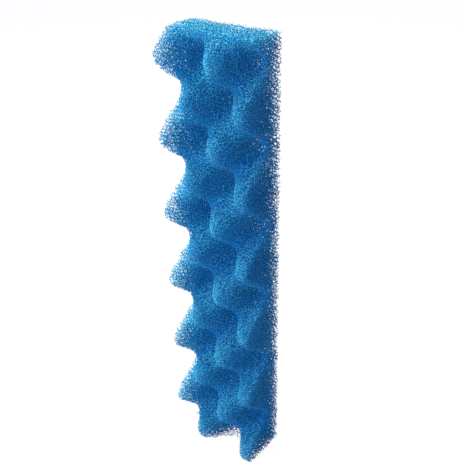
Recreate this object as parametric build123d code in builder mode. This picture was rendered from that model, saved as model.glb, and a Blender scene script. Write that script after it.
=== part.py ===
from build123d import *
import math
import os

# A filter strip cut from one block of blue open-cell foam: flat back, flat cut sides and
# ends, and an egg-crate front of staggered rounded peaks and hollows.
# Frame: +Z up along the strip, -Y out of the egg-crate front, +Y out of the flat back.
# The origin is at the middle of the bounding box's bottom face. Millimetres.

# ---- strip ----
length = 357.0          # end to end, along Z
width = 75.5            # across the strip, along X

# ---- egg-crate ----
pitch_z = 60.0          # from one peak to the next up the strip
pitch_x = 46.6          # from one peak to the next across the strip
mid_thickness = 29.9    # back face to the mid level of the egg-crate
wave_height = 14.3      # mid level to a peak, before hollow_bias lowers it
hollow_bias = 0.14      # 0 is an even wave; above 0, broad peaks over narrower, deeper hollows
peak_pinch = 0.06       # 0 is a plain cosine; above 0, peaks and hollows are narrower
first_peak_x = 1.6      # first column of peaks, from the left cut side (-X)
first_peak_drop = 17.3  # first row of peaks, below the top cut end
first_peak_z = length - first_peak_drop

# ---- construction ----
step = 5.0              # approximate spacing of the points the face is drawn through
overrun = 8.0           # how far the face is drawn past the block's sides and ends
front_waste = 12.0      # block in front of the tallest peak, removed by the cut


def strip_thickness(x, z):
    """Thickness of the strip at x from the left side and z from the bottom end."""
    across = math.cos(2 * math.pi * (x - first_peak_x) / pitch_x)
    along = math.cos(2 * math.pi * (z - first_peak_z) / pitch_z)
    wave = across * along
    pinched = wave * (1 - peak_pinch) + wave**3 * peak_pinch
    mean_square = 0.25  # average of wave**2, so the bias leaves the mean level alone
    return mid_thickness + wave_height * (pinched - hollow_bias * (wave**2 - mean_square))


# A peak is the thickest point, so it sets the overall depth, and so where the back lies.
depth = strip_thickness(first_peak_x, first_peak_z)
back_y = depth / 2


def stations(size):
    """Even stations from one overrun before 0 to one overrun past size."""
    span = size + 2 * overrun
    count = round(span / step)
    return [-overrun + span * i / count for i in range(count + 1)]


def make_egg_crate_face():
    """Smooth face through the egg-crate points, larger than the block all round."""
    points = [
        [Vector(x - width / 2, back_y - strip_thickness(x, z), z) for x in stations(width)]
        for z in stations(length)
    ]
    return Face.make_surface_from_array_of_points(points, tol=0.02, min_deg=3, max_deg=3)


def make_foam_strip():
    block_depth = depth + front_waste
    with BuildPart() as strip:
        # sawn block, with its back face at back_y
        with BuildSketch(Plane.XY):
            with Locations((0, back_y - block_depth / 2)):
                Rectangle(width, block_depth)
        extrude(amount=length)
        # egg-crate cut; Keep.TOP is the half that holds the flat back
        split(bisect_by=make_egg_crate_face(), keep=Keep.TOP)
    strip.part.label = "foam_strip"
    return strip.part


os.makedirs("parts", exist_ok=True)
export_step(make_foam_strip(), "parts/foam_strip.step")
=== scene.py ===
"""A standing strip of blue open-cell foam with an egg-crate front.

X runs across the strip (left is -X), the egg-crate face looks to -Y, the flat back to +Y,
and the strip's length stands along Z. The foam is built strand by strand, in mm, and written
as closed meshes stacked from the bottom up. Lights, floor and camera are in metres.
"""
import math

import bpy
import numpy as np
from mathutils import Matrix, Vector
from mathutils.bvhtree import BVHTree


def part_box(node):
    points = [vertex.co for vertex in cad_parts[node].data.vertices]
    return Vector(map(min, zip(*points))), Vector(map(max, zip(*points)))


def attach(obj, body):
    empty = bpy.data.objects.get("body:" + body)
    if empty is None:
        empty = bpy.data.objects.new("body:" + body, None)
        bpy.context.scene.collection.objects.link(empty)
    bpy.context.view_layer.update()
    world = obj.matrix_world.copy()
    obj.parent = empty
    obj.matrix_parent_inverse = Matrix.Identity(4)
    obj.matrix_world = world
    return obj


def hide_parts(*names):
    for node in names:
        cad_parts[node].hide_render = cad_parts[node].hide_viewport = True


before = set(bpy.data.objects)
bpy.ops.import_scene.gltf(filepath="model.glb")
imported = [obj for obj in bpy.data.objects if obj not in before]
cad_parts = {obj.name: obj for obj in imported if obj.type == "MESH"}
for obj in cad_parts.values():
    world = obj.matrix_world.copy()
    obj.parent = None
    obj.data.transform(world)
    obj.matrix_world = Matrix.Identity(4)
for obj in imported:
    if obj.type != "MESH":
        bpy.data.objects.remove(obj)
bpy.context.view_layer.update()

# ---------------------------------------------------------------- dimensions, in mm
MM = 0.001  # metres in a millimetre

strip_low, strip_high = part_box("foam_strip")
X0, X1 = strip_low.x / MM, strip_high.x / MM
Y0, Y1 = strip_low.y / MM, strip_high.y / MM
Z0, Z1 = strip_low.z / MM, strip_high.z / MM

# Cell lattice
CELL = 3.50           # cubic constant
SEED = 20711
JITTER = 0.115        # spread of each bubble centre's stray, as a share of CELL
MAX_JITTER = 2.2      # longest stray along an axis, in JITTERs
MAX_SHIFT = 0.20      # furthest a corner moves from its lattice place, as a share of CELL
LATTICE_MARGIN = 3    # spare lattice cubes round the strip
KEEP_OUT = CELL * 2.2  # lattice cubes further outside than this are dropped
DRIFTS = ((1.1, 31.0), (0.8, 19.0), (0.55, 12.0))  # amplitude, wavelength

# Loose strand ends stand a little proud of the cuts, most of all on the peaks.
PROUD_CUT = 1.0       # on the right side and the back
PROUD_LEFT = PROUD_CUT * 0.7
PROUD_TOP = PROUD_CUT * 0.6
PROUD_FACE = 0.5      # at the mid level of the egg-crate face
PROUD_PEAK = 0.6      # more than that on a peak, and less in a hollow
FACE_SLOPE = 0.75     # turns depth along Y into rough distance from the sloping face

# Strands
NODE = 0.305          # centre of a strand junction to its corners
NODE_LIMIT = 0.42     # most a junction takes up of its shortest strand
MIN_STUB = 0.12       # a cut strand never ends inside its own junction
LOOSE_SHARE = 0.35    # length share of a strand whose far corner is inside but left out
END_TAPER = 0.86      # width of a loose end beside its root
CUT_STEPS = 7         # halvings made to find where a strand is cut

# Sections
SECTION_TRIS = 185000  # target size of a section
CORNER_TRIS = 6 * 4 / 2 * 1.06  # 6 for each of 4 shared strands, and an allowance for ends
SPARE = 1.02          # margin on that count


# ---------------------------------------------------------------- outer shape, from the CAD solid
def front_heights(step=1.0):
    """y of the egg-crate front on a grid over x and z."""
    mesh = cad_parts["foam_strip"].data
    points = np.empty(len(mesh.vertices) * 3, np.float32)
    mesh.vertices.foreach_get("co", points)
    points = points.reshape(-1, 3) / MM
    mesh.calc_loop_triangles()
    tris = np.empty(len(mesh.loop_triangles) * 3, np.int32)
    mesh.loop_triangles.foreach_get("vertices", tris)
    tree = BVHTree.FromPolygons(points.tolist(), tris.reshape(-1, 3).tolist(), all_triangles=True)
    inset = 0.02  # keeps the rays off the strip's edges
    grid_x = np.linspace(X0 + inset, X1 - inset, int((X1 - X0) / step) + 2)
    grid_z = np.linspace(Z0 + inset, Z1 - inset, int((Z1 - Z0) / step) + 2)
    heights = np.full((len(grid_x), len(grid_z)), np.nan)
    for i, x in enumerate(grid_x):
        for j, z in enumerate(grid_z):
            hit = tree.ray_cast(Vector((x, Y0 - 5, z)), Vector((0, 1, 0)))[0]
            if hit is not None:
                heights[i, j] = hit.y
    # rays that slipped past the solid take the mean level
    missed = np.isnan(heights)
    if missed.any():
        heights[missed] = np.nanmean(heights)
    return grid_x, grid_z, heights


GRID_X, GRID_Z, FRONT = front_heights()
FRONT_MID = (FRONT.max() + FRONT.min()) / 2
FRONT_HALF = (FRONT.max() - FRONT.min()) / 2


def grid_place(values, grid):
    """Whole and fractional grid index of each value."""
    place = np.clip((values - grid[0]) / (grid[1] - grid[0]), 0, len(grid) - 1.001)
    whole = place.astype(int)
    return whole, place - whole


def front_y(x, z):
    i, u = grid_place(x, GRID_X)
    j, v = grid_place(z, GRID_Z)
    return (
        FRONT[i, j] * (1 - u) * (1 - v) + FRONT[i + 1, j] * u * (1 - v)
        + FRONT[i, j + 1] * (1 - u) * v + FRONT[i + 1, j + 1] * u * v
    )


def outside(points):
    """Above 0 outside the strip, below 0 inside, near the distance in mm."""
    x, y, z = points[:, 0], points[:, 1], points[:, 2]
    front = front_y(x, z)
    relief = (FRONT_MID - front) / FRONT_HALF  # 1 on a peak, -1 in a hollow
    front = front - PROUD_FACE - PROUD_PEAK * relief
    return np.maximum.reduce([
        X0 - PROUD_LEFT - x, x - X1 - PROUD_CUT,
        Z0 - z, z - Z1 - PROUD_TOP,
        y - Y1 - PROUD_CUT, (front - y) * FACE_SLOPE,
    ])


# ---------------------------------------------------------------- the foam's cells
# Each cell of open-cell foam is a bubble with 14 windows. Its corners sit where four bubbles
# meet, and a strand runs along every edge. Bubble centres start on a body-centred lattice,
# stray at random, and each corner is the point at one distance from its four centres.
def turn(axis, degrees):
    return np.array(Matrix.Rotation(math.radians(degrees), 3, Vector(axis)))


# The lattice is turned so that no row of cells lines up with a cut face.
LATTICE_TURN = turn((0, 0, 1), 21) @ turn((1, 0, 0), 17) @ turn((0, 1, 0), 12)
MIDDLE = np.array([(X0 + X1) / 2, (Y0 + Y1) / 2, (Z0 + Z1) / 2])


def to_strip(points):
    """Lattice units to mm, with a slow drift so the cells are not one crystal."""
    placed = (points * CELL) @ LATTICE_TURN.T + MIDDLE
    drift = np.zeros_like(placed)
    for k, (amplitude, wave) in enumerate(DRIFTS):
        for axis in range(3):
            across, along = placed[:, (axis + 1) % 3], placed[:, (axis + 2) % 3]
            drift[:, axis] += amplitude * np.sin(
                across * 2 * math.pi / wave + 1.7 * k + axis
                + 1.3 * np.sin(along * 2 * math.pi / (wave * 1.37) + 2.1 * k)
            )
    return placed + drift


def cube_corners():
    """The 12 cell corners that belong to one lattice cube."""
    corners = []
    for zero in range(3):
        a, b = [axis for axis in range(3) if axis != zero]
        for quarter, half in ((a, b), (b, a)):
            for share in (0.25, 0.75):
                corner = np.zeros(3)
                corner[quarter] = share
                corner[half] = 0.5
                corners.append(corner)
    return np.array(corners)


def bubbles_round(corner):
    """The four bubble centres round a corner, as (sublattice, cube offset)."""
    return [
        (sub, np.array(step) - 1)
        for sub in (0, 1)
        for step in np.ndindex(4, 4, 4)
        if abs(np.linalg.norm(np.array(step) - 1 + 0.5 * sub - corner) - math.sqrt(5) / 4) < 1e-6
    ]


def corners_round(corner, corners):
    """The four corners one strand away, as (corner number, cube offset)."""
    return [
        (n, np.array(step) - 1)
        for step in np.ndindex(3, 3, 3)
        for n, other in enumerate(corners)
        if abs(np.linalg.norm(other + (np.array(step) - 1) - corner) - math.sqrt(2) / 4) < 1e-6
    ]


def lattice_cubes():
    """Cubes in and near the strip, the first cube's place, and the lattice size."""
    box = np.array([[x, y, z] for x in (X0, X1) for y in (Y0, Y1) for z in (Z0, Z1)])
    box = (box - MIDDLE) @ LATTICE_TURN / CELL
    base = np.floor(box.min(0)).astype(int) - LATTICE_MARGIN
    size = np.ceil(box.max(0)).astype(int) + LATTICE_MARGIN - base + 1
    cubes = np.stack(np.meshgrid(*[np.arange(s) for s in size], indexing="ij"), -1)
    cubes = cubes.reshape(-1, 3)
    near = outside(to_strip(cubes + base + 0.5)) < KEEP_OUT
    inner = (cubes > 0).all(1) & (cubes < size - 1).all(1)
    return cubes[near & inner], base, size


def corner_places(cubes, base, size, corners):
    """Every corner's place in mm."""
    rng = np.random.default_rng(SEED)
    stray = rng.normal(size=(2, size[0] + 1, size[1] + 1, size[2] + 1, 3)) * JITTER
    stray = np.clip(stray, -MAX_JITTER * JITTER, MAX_JITTER * JITTER)
    places = np.empty((len(cubes), len(corners), 3))
    for c, corner in enumerate(corners):
        centres = []
        for sub, offset in bubbles_round(corner):
            i, j, k = np.clip(cubes + offset, 0, size).T
            centres.append(cubes + offset + 0.5 * sub + stray[sub, i, j, k])
        first = centres[0]
        spans = np.stack([centres[k] - first for k in (1, 2, 3)], 1)
        halves = 0.5 * (spans**2).sum(-1)
        equidistant = first + np.linalg.solve(spans, halves[..., None])[..., 0]
        nominal = cubes + corner
        move = equidistant - nominal
        length = np.linalg.norm(move, axis=1, keepdims=True)
        move *= np.minimum(1, MAX_SHIFT / np.maximum(length, 1e-9))
        places[:, c] = nominal + move
    return to_strip((places + base).reshape(-1, 3))


def corner_neighbours(cubes, size, corners):
    """The four neighbours of every corner; -1 where the lattice stops."""
    cube_number = np.full(tuple(size), -1, np.int64)
    cube_number[tuple(cubes.T)] = np.arange(len(cubes))
    neighbours = np.full((len(cubes), len(corners), 4), -1, np.int64)
    for c, corner in enumerate(corners):
        for s, (n, offset) in enumerate(corners_round(corner, corners)):
            number = cube_number[tuple((cubes + offset).T)]
            neighbours[:, c, s] = np.where(number < 0, -1, number * len(corners) + n)
    return neighbours.reshape(-1, 4)


def largest_piece(inside, neighbours):
    """Drops the scraps that touch the rest by no strand."""
    ids = np.arange(len(inside))
    start, end = np.repeat(ids, 4), neighbours.reshape(-1)
    joined = (end > start) & inside[start]
    start, end = start[joined], end[joined]
    joined = inside[end]
    start, end = start[joined], end[joined]
    # the lowest number spreads along the strands until each piece has one label
    label = ids.copy()
    for _ in range(200):
        lowest = np.minimum(label[start], label[end])
        spread = label.copy()
        np.minimum.at(spread, start, lowest)
        np.minimum.at(spread, end, lowest)
        spread = spread[spread]
        if (spread == label).all():
            break
        label = spread
    labels, counts = np.unique(label[inside], return_counts=True)
    return inside & (label == labels[counts.argmax()])


def build_cells():
    """Corner places, neighbours, distances outside, and the numbers of the corners used."""
    corners = cube_corners()
    cubes, base, size = lattice_cubes()
    places = corner_places(cubes, base, size, corners)
    neighbours = corner_neighbours(cubes, size, corners)
    distance = outside(places)
    inside = (distance < 0) & (neighbours >= 0).all(1)
    return places, neighbours, distance, np.flatnonzero(largest_piece(inside, neighbours))


PLACES, NEIGHBOURS, DISTANCE, USED = build_cells()
ROW = np.full(len(PLACES), -1, np.int64)  # corner number to its index in USED, or -1
ROW[USED] = np.arange(len(USED))


# ---------------------------------------------------------------- junctions and strands
# The three points of a tetrahedron's face opposite each of its four points
TETRA_FACES = np.array([[1, 2, 3], [0, 3, 2], [0, 1, 3], [0, 2, 1]])


def junctions():
    """A tetrahedron at each used corner, its faces wound alike, and its strands' ways and lengths."""
    centre = PLACES[USED]
    ways = PLACES[NEIGHBOURS[USED]] - centre[:, None]
    lengths = np.linalg.norm(ways, axis=2)
    ways /= lengths[..., None]
    size = NODE * (0.9 + 0.2 * np.sin(USED * 12.9898) ** 2)  # uneven from corner to corner
    # strands thicken a little towards the left cut side, where the peaks are cut through,
    # and towards the bottom end
    size *= 1 + 0.32 * np.exp(-(centre[:, 0] - X0) / 9.0)
    size *= 1 + 0.20 * np.exp(-(centre[:, 2] - Z0) / 8.0)
    # and deep inside, so the body of the strip can't be seen through though its edges can
    size *= 1 + 0.35 * np.clip((-outside(centre) - 4.0) / 6.0, 0, 1)
    size = np.minimum(size, NODE_LIMIT * lengths.min(1))
    tetra = centre[:, None] - ways * size[:, None, None]
    normal = np.cross(tetra[:, 1] - tetra[:, 0], tetra[:, 2] - tetra[:, 0])
    volume = np.einsum("ij,ij->i", normal, tetra[:, 3] - tetra[:, 0])
    faces = np.where((volume > 0)[:, None, None], TETRA_FACES[None], TETRA_FACES[None][:, :, ::-1])
    return tetra, faces, ways, lengths


TETRA, FACES, WAYS, LENGTHS = junctions()


def cut_share(start, end):
    """How far along from start to end, from 0 to 1, the strand leaves the strip."""
    low, high = np.zeros(len(start)), np.ones(len(start))
    for _ in range(CUT_STEPS):
        share = (low + high) / 2
        out = outside(PLACES[start] + (PLACES[end] - PLACES[start]) * share[:, None]) > 0
        high = np.where(out, share, high)
        low = np.where(out, low, share)
    return (low + high) / 2


def strand_sides(near, far):
    """Triangles of three-sided strands between two rings of three vertex numbers."""
    tris = []
    for m in range(3):
        n = (m + 1) % 3
        tris.append(np.stack([near[:, m], near[:, n], far[:, n]], 1))
        tris.append(np.stack([near[:, m], far[:, n], far[:, m]], 1))
    return tris


def face_points(rows, face):
    return np.take_along_axis(TETRA[rows], face[..., None], 1)


def whole_strands(near, slot, far, local):
    """Strands with both ends in the section, each once."""
    once = near < far
    near, slot, far = near[once], slot[once], far[once]
    far_slot = (NEIGHBOURS[USED[far]] == USED[near][:, None]).argmax(1)
    near_face = FACES[near, slot]
    far_face = FACES[far, far_slot][:, ::-1]
    near_points = face_points(near, near_face)
    far_points = face_points(far, far_face)
    near_spokes = near_points - near_points.mean(1, keepdims=True)
    far_spokes = far_points - far_points.mean(1, keepdims=True)
    # the far ring starts at the point that twists the strand least
    match = np.stack([(np.roll(far_spokes, -k, 1) * near_spokes).sum((1, 2)) for k in range(3)], 1)
    order = (np.arange(3)[None] + match.argmax(1)[:, None]) % 3
    return strand_sides(
        local[near][:, None] * 4 + near_face,
        local[far][:, None] * 4 + np.take_along_axis(far_face, order, 1),
    )


def open_strands(near, slot, far_id, local, first_vertex):
    """Capped strands: those cut or loose, and those that run on into the next section."""
    share = np.full(len(near), 0.5)
    goes_on = ROW[far_id] >= 0
    cut = ~goes_on & (DISTANCE[far_id] > 0)
    share[cut] = cut_share(USED[near][cut], far_id[cut])
    share[~goes_on & ~cut] = LOOSE_SHARE
    face = FACES[near, slot]
    root = face_points(near, face)
    centre = PLACES[USED[near]]
    way = WAYS[near, slot]
    end = (centre + way * (LENGTHS[near, slot] * share)[:, None])[:, None]
    reach = np.linalg.norm(end - centre[:, None], axis=2, keepdims=True)
    end = np.where(reach < MIN_STUB, centre[:, None] + way[:, None] * MIN_STUB, end)
    # strands that run on keep their width up to the join
    taper = np.where(goes_on, 1.0, END_TAPER)[:, None, None]
    cap = end + (root - root.mean(1, keepdims=True)) * taper
    ring = first_vertex + np.arange(len(near))[:, None] * 3 + np.arange(3)
    return cap.reshape(-1, 3), strand_sides(local[near][:, None] * 4 + face, ring) + [ring]


def section_mesh(name, rows):
    """One closed mesh of the strands round the corners in rows (indices into USED)."""
    local = np.full(len(USED), -1, np.int64)
    local[rows] = np.arange(len(rows))
    near = np.repeat(rows, 4)
    slot = np.tile(np.arange(4), len(rows))
    far_id = NEIGHBOURS[USED[near], slot]
    far = ROW[far_id]
    whole = (far >= 0) & (local[np.maximum(far, 0)] >= 0)
    sides = whole_strands(near[whole], slot[whole], far[whole], local)
    caps, ends = open_strands(near[~whole], slot[~whole], far_id[~whole], local, len(rows) * 4)
    points = np.concatenate([TETRA[rows].reshape(-1, 3), caps]) * MM
    return write_mesh(name, points, np.concatenate(sides + ends))


def write_mesh(name, points, tris):
    mesh = bpy.data.meshes.new(name)
    mesh.vertices.add(len(points))
    mesh.vertices.foreach_set("co", points.astype(np.float32).ravel())
    mesh.loops.add(len(tris) * 3)
    mesh.loops.foreach_set("vertex_index", tris.astype(np.int32).ravel())
    mesh.polygons.add(len(tris))
    mesh.polygons.foreach_set("loop_start", np.arange(0, len(tris) * 3, 3, dtype=np.int32))
    mesh.polygons.foreach_set("use_smooth", np.ones(len(tris), bool))
    # a map laid over the section from the front, with a narrow border
    border, span = 0.02, 0.96
    x, z = points[:, 0], points[:, 2]
    uv = np.stack([
        border + span * (x / MM - X0) / (X1 - X0),
        border + span * (z - z.min()) / (z.max() - z.min()),
    ], 1)
    layer = mesh.uv_layers.new(name="OFBake")
    layer.data.foreach_set("uv", uv[tris.ravel()].astype(np.float32).ravel())
    mesh.update(calc_edges=True)
    return mesh


# ---------------------------------------------------------------- shader helpers
def empty_tree(owner):
    owner.use_nodes = True
    owner.node_tree.nodes.clear()
    return owner.node_tree


def add_node(tree, kind, values=None):
    """A node with its input values set by name or number."""
    node = tree.nodes.new(kind)
    for key, value in (values or {}).items():
        node.inputs[key].default_value = value
    return node


def camera_switch(tree, output_kind):
    """Mix whose input 1 lights the scene and whose input 2 is what the camera sees."""
    output = add_node(tree, output_kind)
    path = add_node(tree, "ShaderNodeLightPath")
    mix = add_node(tree, "ShaderNodeMixShader")
    tree.links.new(path.outputs["Is Camera Ray"], mix.inputs["Fac"])
    tree.links.new(mix.outputs[0], output.inputs["Surface"])
    return mix


# ---------------------------------------------------------------- the foam's look
def foam_material():
    mat = bpy.data.materials.new("blue_foam")
    tree = empty_tree(mat)
    link = tree.links.new
    output = add_node(tree, "ShaderNodeOutputMaterial")
    bsdf = add_node(tree, "ShaderNodeBsdfPrincipled", {"IOR": 1.5, "Sheen Weight": 0.0})
    coord = add_node(tree, "ShaderNodeTexCoord")
    # slow patches of dye, a few centimetres across
    patches = add_node(tree, "ShaderNodeTexNoise", {"Scale": 38.0, "Detail": 3.0})
    # strand to strand change, about one cell across
    strands = add_node(tree, "ShaderNodeTexNoise", {"Scale": 420.0, "Detail": 1.0})
    link(coord.outputs["Object"], patches.inputs["Vector"])
    link(coord.outputs["Object"], strands.inputs["Vector"])
    # shares of the two in the colour
    blend = add_node(tree, "ShaderNodeMath", {1: 0.55})
    blend.operation = "MULTIPLY_ADD"
    link(patches.outputs["Fac"], blend.inputs[0])
    strand_share = add_node(tree, "ShaderNodeMath", {1: 0.45})
    strand_share.operation = "MULTIPLY"
    link(strands.outputs["Fac"], strand_share.inputs[0])
    link(strand_share.outputs[0], blend.inputs[2])
    ramp = add_node(tree, "ShaderNodeValToRGB")
    deep, pale = ramp.color_ramp.elements
    deep.position, deep.color = 0.30, (0.040, 0.500, 0.840, 1)
    pale.position, pale.color = 0.70, (0.110, 0.660, 0.920, 1)
    link(blend.outputs[0], ramp.inputs["Fac"])
    link(ramp.outputs["Color"], bsdf.inputs["Base Color"])
    rough = add_node(tree, "ShaderNodeMapRange", {"To Min": 0.45, "To Max": 0.65})
    link(strands.outputs["Fac"], rough.inputs["Value"])
    link(rough.outputs["Result"], bsdf.inputs["Roughness"])
    link(bsdf.outputs["BSDF"], output.inputs["Surface"])
    return mat


def build_foam():
    """The strip in sections of like corner count, from the bottom up."""
    foam = foam_material()
    upward = np.argsort(PLACES[USED][:, 2], kind="stable")
    sections = int(math.ceil(len(USED) * CORNER_TRIS * SPARE / SECTION_TRIS))
    for k, rows in enumerate(np.array_split(upward, sections)):
        name = f"foam_section_{k + 1:02d}"
        mesh = section_mesh(name, np.sort(rows))
        section = bpy.data.objects.new(name, mesh)
        bpy.context.scene.collection.objects.link(section)
        mesh.materials.append(foam)
        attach(section, "root")
        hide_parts("foam_strip")


# ---------------------------------------------------------------- floor and world
def paper_floor():
    """Bright seamless paper: near white to the eye, and it throws only a little light back up."""
    mat = bpy.data.materials.new("floor")
    tree = empty_tree(mat)
    link = tree.links.new
    mix = camera_switch(tree, "ShaderNodeOutputMaterial")
    bounce = add_node(tree, "ShaderNodeBsdfDiffuse", {"Color": (0.30, 0.30, 0.30, 1)})
    seen = add_node(tree, "ShaderNodeAddShader")
    glow = add_node(tree, "ShaderNodeEmission", {"Color": (1, 1, 1, 1), "Strength": 0.97})
    paper = add_node(tree, "ShaderNodeBsdfDiffuse", {"Color": (0.08, 0.08, 0.08, 1)})
    link(glow.outputs[0], seen.inputs[0])
    link(paper.outputs[0], seen.inputs[1])
    link(bounce.outputs[0], mix.inputs[1])
    link(seen.outputs[0], mix.inputs[2])
    return mat


def build_floor(half=6.0, gap=0.0005):
    """A square floor just under the strip."""
    mesh = bpy.data.meshes.new("floor")
    corners = [(-half, -half, 0), (half, -half, 0), (half, half, 0), (-half, half, 0)]
    mesh.from_pydata(corners, [], [(0, 1, 2, 3)])
    floor = bpy.data.objects.new("floor", mesh)
    bpy.context.scene.collection.objects.link(floor)
    floor.location.z = Z0 * MM - gap
    mesh.materials.append(paper_floor())


def build_world():
    """White to the eye, and blue as a light, like light that has come through blue strands."""
    world = bpy.data.worlds.new("studio")
    bpy.context.scene.world = world
    tree = empty_tree(world)
    mix = camera_switch(tree, "ShaderNodeOutputWorld")
    seen = add_node(tree, "ShaderNodeBackground", {"Color": (1, 1, 1, 1), "Strength": 1.0})
    ambient = add_node(
        tree, "ShaderNodeBackground", {"Color": (0.000, 0.030, 0.230, 1), "Strength": 1.0}
    )
    tree.links.new(ambient.outputs[0], mix.inputs[1])
    tree.links.new(seen.outputs[0], mix.inputs[2])
    # reach and strength of the even glow turned on in the render settings
    world.light_settings.distance = 0.001
    world.light_settings.ao_factor = 0.046


# ---------------------------------------------------------------- lights and camera
def soft_box(name, around, height, power, colour, size=0.8, away=1.3):
    """around is degrees from the front (-Y), left (-X) being negative; height is degrees up."""
    around, height = math.radians(around), math.radians(height)
    aim = Vector((0, 0, 0.18))
    way = Vector((
        math.sin(around) * math.cos(height), -math.cos(around) * math.cos(height), math.sin(height)
    ))
    place = aim + way * away
    data = bpy.data.lights.new(name, "AREA")
    data.shape = "SQUARE"
    data.size = size
    data.energy = power
    data.color = colour
    light = bpy.data.objects.new(name, data)
    light.location = place
    light.rotation_euler = (aim - place).to_track_quat("-Z", "Y").to_euler()
    bpy.context.scene.collection.objects.link(light)


def build_camera():
    """In front of the strip, to its right and above, looking down at it."""
    around, height, roll = math.radians(38.855), math.radians(28.55), math.radians(-1.355)
    distance = 0.539
    target = Vector((46.4 + X0, -18.5 + Y1, 206.4)) * MM
    back = Vector((
        math.sin(around) * math.cos(height), -math.cos(around) * math.cos(height), math.sin(height)
    ))
    level = (-back).cross(Vector((0, 0, 1))).normalized()
    upright = level.cross(-back)
    right = math.cos(roll) * level + math.sin(roll) * upright
    up = -math.sin(roll) * level + math.cos(roll) * upright
    place = target + back * distance
    data = bpy.data.cameras.new("camera")
    camera = bpy.data.objects.new("camera", data)
    bpy.context.scene.collection.objects.link(camera)
    data.sensor_width = 36.0
    data.lens = 55.02
    data.clip_start = 0.01
    data.clip_end = 50
    pose = Matrix.Identity(4)
    for row in range(3):
        pose[row] = (right[row], up[row], back[row], place[row])
    camera.matrix_world = pose
    bpy.context.scene.camera = camera


def set_render(scene):
    scene.view_settings.view_transform = "Standard"
    scene.view_settings.look = "None"
    scene.view_settings.exposure = 0.0
    scene.cycles.use_denoising = False
    scene.cycles.filter_width = 1.6
    scene.cycles.diffuse_bounces = 10
    # An even glow reaches every strand that isn't pressed against another, as it does in foam
    # whose strands let some light through.
    scene.cycles.use_fast_gi = True
    scene.cycles.fast_gi_method = "ADD"


build_foam()
build_floor()
build_world()
WARM = (1.00, 1.00, 0.70)
soft_box("key_high", around=-95, height=42, power=22.0, colour=WARM)
soft_box("top_front", around=-50, height=55, power=11.5, colour=WARM)
soft_box("fill_front", around=-15, height=15, power=7.5, colour=(0.10, 0.44, 1.00))
soft_box("rim_back", around=178, height=15, power=4.0, colour=(0.60, 0.90, 1.00))
build_camera()
set_render(bpy.context.scene)
